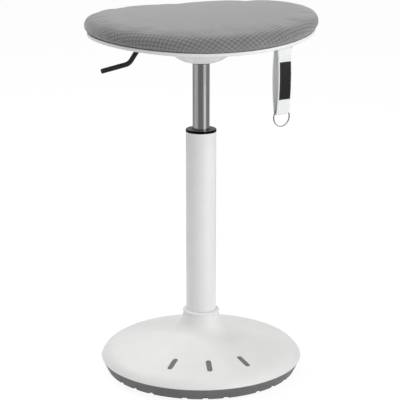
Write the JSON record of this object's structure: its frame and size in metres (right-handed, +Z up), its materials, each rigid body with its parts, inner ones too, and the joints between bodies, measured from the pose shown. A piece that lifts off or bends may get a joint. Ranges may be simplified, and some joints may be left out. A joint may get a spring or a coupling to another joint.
{
  "type": "wobble stool",
  "caption": "Wobble stool: round saddle-shaped padded seat on a gas-spring column, with a weighted dome base that rocks on a rounded foot, a height lever and a carrying strap.",
  "frame": {"origin": "on the floor under the centre of the column, at the rest height of the foot pad", "axes": "+Z up along the column; -Y towards the picture's camera; +X to its right"},
  "size_m": [0.38, 0.38, 0.614],
  "materials": {
    "white_plastic": "semi-gloss moulded",
    "grey_insert": "matte moulded",
    "grey_tpe": "matte moulded",
    "grey_plastic": "matte moulded",
    "black_rubber": "matte",
    "raw_steel": "as rolled",
    "zinc_steel": "zinc plated",
    "bearing_steel": "ground",
    "white_steel": "satin powder coat",
    "black_plastic": "polished moulded",
    "chrome_steel": "polished",
    "aluminium_part": "turned",
    "grey_fabric": "spacer mesh",
    "birch_ply": "moulded plywood",
    "black_steel": "satin powder coat",
    "white_webbing": "woven webbing",
    "black_label": "woven tape",
    "ring_steel": "bright nickel"
  },
  "bodies": {
    "base": {"base_cover": "white_plastic", "cover_collar": "white_plastic", "cover_inlays": "grey_insert", "rocker_ring": "grey_tpe", "rocker_pan": "grey_plastic", "floor_pad": "black_rubber", "weight_plate": "raw_steel", "column_hub": "raw_steel", "hub_bolts": "zinc_steel", "base_screws": "zinc_steel", "column_tube": "white_steel", "column_guide_bush": "black_plastic", "column_foot_plate": "raw_steel", "bearing_lower_race": "bearing_steel"},
    "rod": {"bearing_balls": "bearing_steel", "bearing_upper_race": "bearing_steel", "piston_rod": "chrome_steel", "rod_clip": "zinc_steel", "bump_stop": "black_rubber", "piston_head": "aluminium_part", "piston_seal": "black_rubber"},
    "seat": {"gas_cylinder": "chrome_steel", "cylinder_seal": "black_rubber", "valve_block": "aluminium_part", "seat_cushion": "grey_fabric", "seat_board": "birch_ply", "seat_shell": "white_plastic", "shell_screws": "zinc_steel", "shell_grommet": "black_plastic", "seat_bracket": "black_steel", "bracket_screws": "zinc_steel", "lever_pin": "zinc_steel", "strap_holder": "white_plastic", "holder_screws": "zinc_steel"},
    "lever": {"height_lever": "black_steel", "lever_yoke": "black_plastic"},
    "valve": {"valve_pin": "zinc_steel"},
    "strap": {"carry_strap": "white_webbing", "strap_label": "black_label"},
    "ring": {"key_ring": "ring_steel"}
  },
  "joints": [
    {"name": "seat_swivel", "type": "hinge", "parent": "base", "child": "rod", "pos_m": [0, 0, 0.05], "axis": [0, 0, 1], "continuous": true},
    {"name": "seat_height", "type": "slide", "parent": "rod", "child": "seat", "axis": [0, 0, 1], "range_m": [-0.03, 0.23]},
    {"name": "lever_lift", "type": "hinge", "parent": "seat", "child": "lever", "pos_m": [-0.03653, -0.01047, 0.547], "axis": [-0.2756, 0.9613, 0], "range_deg": [0, 3.8], "stiffness_Nm_per_rad": 4, "springref_deg": -2.86},
    {"name": "valve_press", "type": "slide", "parent": "seat", "child": "valve", "axis": [0, 0, -1], "range_m": [0, 0.0026]},
    {"name": "strap_swing", "type": "hinge", "parent": "seat", "child": "strap", "pos_m": [0.1261, -0.1002, 0.5698], "axis": [0.8387, 0.5446, 0], "range_deg": [-35, 35]},
    {"name": "ring_swing", "type": "hinge", "parent": "strap", "child": "ring", "pos_m": [0.1261, -0.1002, 0.4695], "axis": [0.8387, 0.5446, 0], "range_deg": [-15, 15]}
  ],
  "couplings": [
    {"joint": "valve_press", "follows": "lever_lift", "m_per_rad": 0.038}
  ]
}
